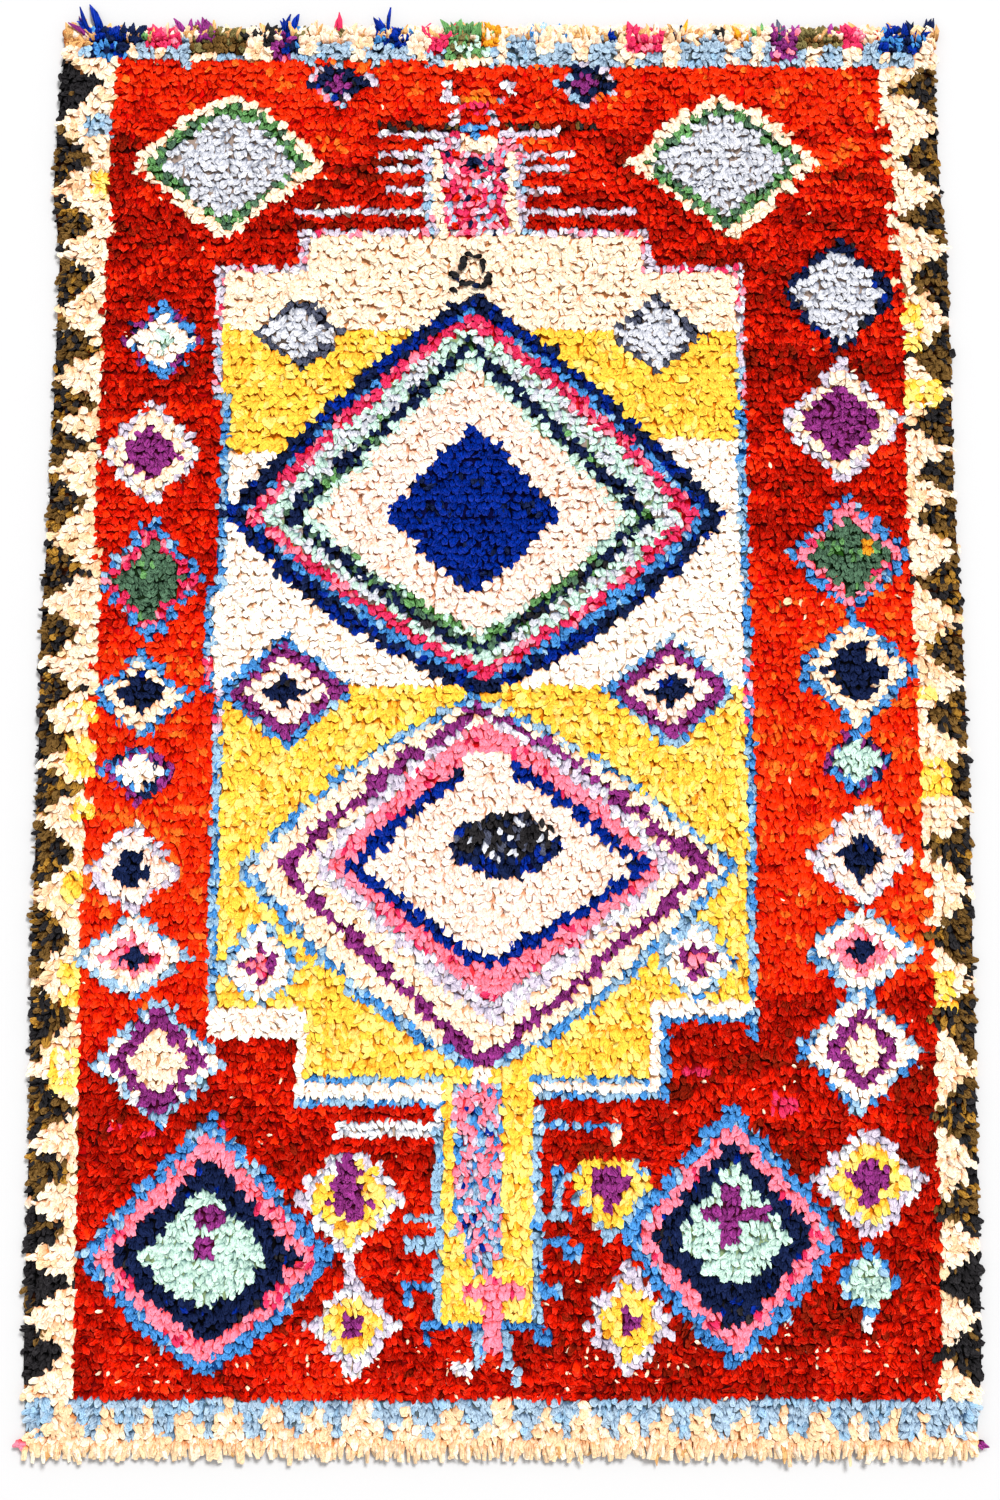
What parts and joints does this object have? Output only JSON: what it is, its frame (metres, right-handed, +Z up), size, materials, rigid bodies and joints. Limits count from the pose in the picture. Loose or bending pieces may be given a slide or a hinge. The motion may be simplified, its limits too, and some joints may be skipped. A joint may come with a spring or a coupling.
{
  "type": "boucherouite rug",
  "caption": "Hand-knotted rag-pile floor rug laid flat, lozenges and a stepped medallion on a red field, with uneven rag locks at both ends.",
  "frame": {"origin": "on the floor under the middle of the rug's bounding box", "axes": "+X to the rug's right side and +Y to its narrower top end as seen from above, +Z up out of the pile"},
  "size_m": [1.555, 2.3932, 0.021],
  "materials": {
    "rag_pile": "matt, shaggy",
    "rag_ends": "matt, frayed",
    "ground_weave": "matt, coarse weave",
    "cream_rag": "matt, soft",
    "blush_rag": "matt, soft",
    "yellow_rag": "matt, soft",
    "red_rag": "matt, soft",
    "brick_rag": "matt, soft",
    "pink_rag": "matt, soft",
    "purple_rag": "matt, soft",
    "lilac_rag": "matt, soft",
    "navy_rag": "matt, soft",
    "royal_blue_rag": "matt, soft",
    "light_blue_rag": "matt, soft",
    "mint_rag": "matt, soft",
    "green_rag": "matt, soft",
    "brown_rag": "matt, soft"
  },
  "bodies": {
    "root": {"rug": "rag_pile", "top_fringe": "rag_ends", "bottom_fringe": "cream_rag"}
  },
  "joints": []
}
